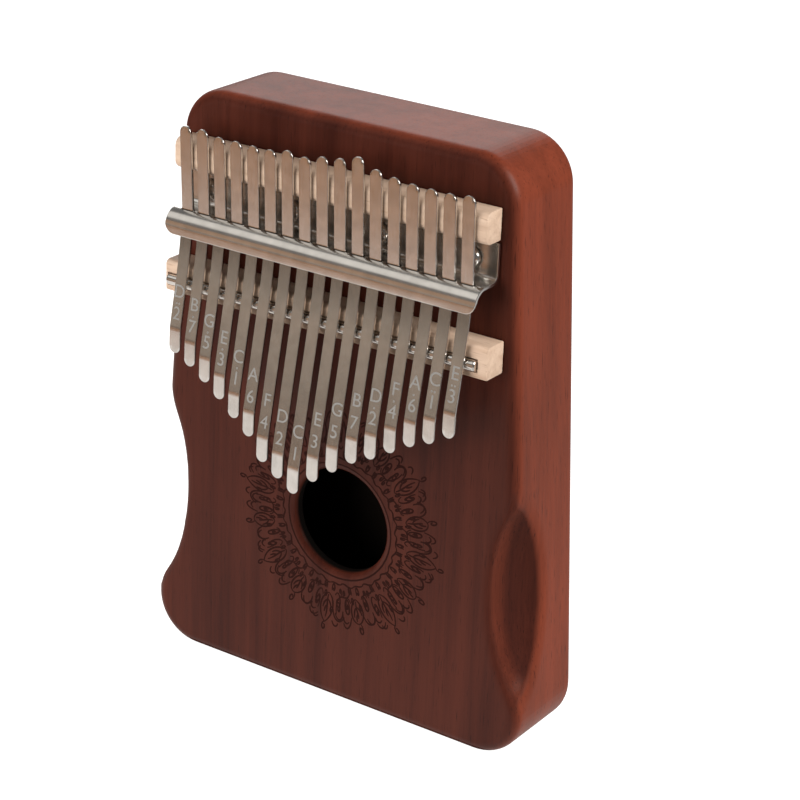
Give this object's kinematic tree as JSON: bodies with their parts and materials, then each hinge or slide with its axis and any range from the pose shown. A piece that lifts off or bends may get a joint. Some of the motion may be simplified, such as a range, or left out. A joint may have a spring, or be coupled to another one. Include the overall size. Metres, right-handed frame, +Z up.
{
  "type": "thumb piano",
  "caption": "Hollow wooden thumb piano with spring-steel tines clamped over a bridge; each tine flexes when plucked and slides along its length for tuning.",
  "frame": {"origin": "middle of the flat bottom edge the body stands on, midway between the body's front and back faces", "axes": "+Z up along the tines towards the top edge, +X to the right seen from the front, -Y out of the front face with the sound hole"},
  "size_m": [0.126, 0.0488, 0.17],
  "materials": {
    "reddish_brown_wood": "satin lacquer",
    "back_plate_wood": "satin lacquer",
    "pale_wood": "sanded, unvarnished",
    "polished_steel": "polished"
  },
  "bodies": {
    "body": {"body_shell": "reddish_brown_wood", "back_plate": "back_plate_wood", "upper_bar": "pale_wood", "lower_bridge": "pale_wood", "saddle_rod": "polished_steel", "pressure_bracket": "polished_steel", "bracket_screw_1": "polished_steel", "bracket_screw_2": "polished_steel", "bracket_screw_3": "polished_steel", "bracket_screw_4": "polished_steel"},
    "tine_01": {"tine_01_shank": "polished_steel"},
    "tongue_01": {"tine_01_tongue": "polished_steel"},
    "tine_02": {"tine_02_shank": "polished_steel"},
    "tongue_02": {"tine_02_tongue": "polished_steel"},
    "tine_03": {"tine_03_shank": "polished_steel"},
    "tongue_03": {"tine_03_tongue": "polished_steel"},
    "tine_04": {"tine_04_shank": "polished_steel"},
    "tongue_04": {"tine_04_tongue": "polished_steel"},
    "tine_05": {"tine_05_shank": "polished_steel"},
    "tongue_05": {"tine_05_tongue": "polished_steel"},
    "tine_06": {"tine_06_shank": "polished_steel"},
    "tongue_06": {"tine_06_tongue": "polished_steel"},
    "tine_07": {"tine_07_shank": "polished_steel"},
    "tongue_07": {"tine_07_tongue": "polished_steel"},
    "tine_08": {"tine_08_shank": "polished_steel"},
    "tongue_08": {"tine_08_tongue": "polished_steel"},
    "tine_09": {"tine_09_shank": "polished_steel"},
    "tongue_09": {"tine_09_tongue": "polished_steel"},
    "tine_10": {"tine_10_shank": "polished_steel"},
    "tongue_10": {"tine_10_tongue": "polished_steel"},
    "tine_11": {"tine_11_shank": "polished_steel"},
    "tongue_11": {"tine_11_tongue": "polished_steel"},
    "tine_12": {"tine_12_shank": "polished_steel"},
    "tongue_12": {"tine_12_tongue": "polished_steel"},
    "tine_13": {"tine_13_shank": "polished_steel"},
    "tongue_13": {"tine_13_tongue": "polished_steel"},
    "tine_14": {"tine_14_shank": "polished_steel"},
    "tongue_14": {"tine_14_tongue": "polished_steel"},
    "tine_15": {"tine_15_shank": "polished_steel"},
    "tongue_15": {"tine_15_tongue": "polished_steel"},
    "tine_16": {"tine_16_shank": "polished_steel"},
    "tongue_16": {"tine_16_tongue": "polished_steel"},
    "tine_17": {"tine_17_shank": "polished_steel"},
    "tongue_17": {"tine_17_tongue": "polished_steel"}
  },
  "joints": [
    {"name": "tine_01_tuning", "type": "slide", "parent": "body", "child": "tine_01", "axis": [0, 0, 1], "range_m": [-0.001, 0.001]},
    {"name": "tine_01_pluck", "type": "hinge", "parent": "tine_01", "child": "tongue_01", "pos_m": [-0.0452, -0.0253, 0.1168], "axis": [1, 0, 0], "range_deg": [-4, 5], "stiffness_Nm_per_rad": 5.01},
    {"name": "tine_02_tuning", "type": "slide", "parent": "body", "child": "tine_02", "axis": [0, 0, 1], "range_m": [-0.001, 0.001]},
    {"name": "tine_02_pluck", "type": "hinge", "parent": "tine_02", "child": "tongue_02", "pos_m": [-0.03955, -0.0253, 0.1168], "axis": [1, 0, 0], "range_deg": [-4, 5], "stiffness_Nm_per_rad": 4.45},
    {"name": "tine_03_tuning", "type": "slide", "parent": "body", "child": "tine_03", "axis": [0, 0, 1], "range_m": [-0.001, 0.001]},
    {"name": "tine_03_pluck", "type": "hinge", "parent": "tine_03", "child": "tongue_03", "pos_m": [-0.0339, -0.0253, 0.1168], "axis": [1, 0, 0], "range_deg": [-4, 5], "stiffness_Nm_per_rad": 3.9},
    {"name": "tine_04_tuning", "type": "slide", "parent": "body", "child": "tine_04", "axis": [0, 0, 1], "range_m": [-0.001, 0.001]},
    {"name": "tine_04_pluck", "type": "hinge", "parent": "tine_04", "child": "tongue_04", "pos_m": [-0.02825, -0.0253, 0.1168], "axis": [1, 0, 0], "range_deg": [-4, 5], "stiffness_Nm_per_rad": 3.43},
    {"name": "tine_05_tuning", "type": "slide", "parent": "body", "child": "tine_05", "axis": [0, 0, 1], "range_m": [-0.001, 0.001]},
    {"name": "tine_05_pluck", "type": "hinge", "parent": "tine_05", "child": "tongue_05", "pos_m": [-0.0226, -0.0253, 0.1168], "axis": [1, 0, 0], "range_deg": [-4, 5], "stiffness_Nm_per_rad": 3.02},
    {"name": "tine_06_tuning", "type": "slide", "parent": "body", "child": "tine_06", "axis": [0, 0, 1], "range_m": [-0.001, 0.001]},
    {"name": "tine_06_pluck", "type": "hinge", "parent": "tine_06", "child": "tongue_06", "pos_m": [-0.01695, -0.0253, 0.1168], "axis": [1, 0, 0], "range_deg": [-4, 5], "stiffness_Nm_per_rad": 2.71},
    {"name": "tine_07_tuning", "type": "slide", "parent": "body", "child": "tine_07", "axis": [0, 0, 1], "range_m": [-0.001, 0.001]},
    {"name": "tine_07_pluck", "type": "hinge", "parent": "tine_07", "child": "tongue_07", "pos_m": [-0.0113, -0.0253, 0.1168], "axis": [1, 0, 0], "range_deg": [-4, 5], "stiffness_Nm_per_rad": 2.33},
    {"name": "tine_08_tuning", "type": "slide", "parent": "body", "child": "tine_08", "axis": [0, 0, 1], "range_m": [-0.001, 0.001]},
    {"name": "tine_08_pluck", "type": "hinge", "parent": "tine_08", "child": "tongue_08", "pos_m": [-0.00565, -0.0253, 0.1168], "axis": [1, 0, 0], "range_deg": [-4, 5], "stiffness_Nm_per_rad": 2.17},
    {"name": "tine_09_tuning", "type": "slide", "parent": "body", "child": "tine_09", "axis": [0, 0, 1], "range_m": [-0.001, 0.001]},
    {"name": "tine_09_pluck", "type": "hinge", "parent": "tine_09", "child": "tongue_09", "pos_m": [0, -0.0253, 0.1168], "axis": [1, 0, 0], "range_deg": [-4, 5], "stiffness_Nm_per_rad": 2.05},
    {"name": "tine_10_tuning", "type": "slide", "parent": "body", "child": "tine_10", "axis": [0, 0, 1], "range_m": [-0.001, 0.001]},
    {"name": "tine_10_pluck", "type": "hinge", "parent": "tine_10", "child": "tongue_10", "pos_m": [0.00565, -0.0253, 0.1168], "axis": [1, 0, 0], "range_deg": [-4, 5], "stiffness_Nm_per_rad": 2.28},
    {"name": "tine_11_tuning", "type": "slide", "parent": "body", "child": "tine_11", "axis": [0, 0, 1], "range_m": [-0.001, 0.001]},
    {"name": "tine_11_pluck", "type": "hinge", "parent": "tine_11", "child": "tongue_11", "pos_m": [0.0113, -0.0253, 0.1168], "axis": [1, 0, 0], "range_deg": [-4, 5], "stiffness_Nm_per_rad": 2.53},
    {"name": "tine_12_tuning", "type": "slide", "parent": "body", "child": "tine_12", "axis": [0, 0, 1], "range_m": [-0.001, 0.001]},
    {"name": "tine_12_pluck", "type": "hinge", "parent": "tine_12", "child": "tongue_12", "pos_m": [0.01695, -0.0253, 0.1168], "axis": [1, 0, 0], "range_deg": [-4, 5], "stiffness_Nm_per_rad": 2.83},
    {"name": "tine_13_tuning", "type": "slide", "parent": "body", "child": "tine_13", "axis": [0, 0, 1], "range_m": [-0.001, 0.001]},
    {"name": "tine_13_pluck", "type": "hinge", "parent": "tine_13", "child": "tongue_13", "pos_m": [0.0226, -0.0253, 0.1168], "axis": [1, 0, 0], "range_deg": [-4, 5], "stiffness_Nm_per_rad": 3.06},
    {"name": "tine_14_tuning", "type": "slide", "parent": "body", "child": "tine_14", "axis": [0, 0, 1], "range_m": [-0.001, 0.001]},
    {"name": "tine_14_pluck", "type": "hinge", "parent": "tine_14", "child": "tongue_14", "pos_m": [0.02825, -0.0253, 0.1168], "axis": [1, 0, 0], "range_deg": [-4, 5], "stiffness_Nm_per_rad": 3.42},
    {"name": "tine_15_tuning", "type": "slide", "parent": "body", "child": "tine_15", "axis": [0, 0, 1], "range_m": [-0.001, 0.001]},
    {"name": "tine_15_pluck", "type": "hinge", "parent": "tine_15", "child": "tongue_15", "pos_m": [0.0339, -0.0253, 0.1168], "axis": [1, 0, 0], "range_deg": [-4, 5], "stiffness_Nm_per_rad": 3.85},
    {"name": "tine_16_tuning", "type": "slide", "parent": "body", "child": "tine_16", "axis": [0, 0, 1], "range_m": [-0.001, 0.001]},
    {"name": "tine_16_pluck", "type": "hinge", "parent": "tine_16", "child": "tongue_16", "pos_m": [0.03955, -0.0253, 0.1168], "axis": [1, 0, 0], "range_deg": [-4, 5], "stiffness_Nm_per_rad": 4.25},
    {"name": "tine_17_tuning", "type": "slide", "parent": "body", "child": "tine_17", "axis": [0, 0, 1], "range_m": [-0.001, 0.001]},
    {"name": "tine_17_pluck", "type": "hinge", "parent": "tine_17", "child": "tongue_17", "pos_m": [0.0452, -0.0253, 0.1168], "axis": [1, 0, 0], "range_deg": [-4, 5], "stiffness_Nm_per_rad": 4.88}
  ]
}
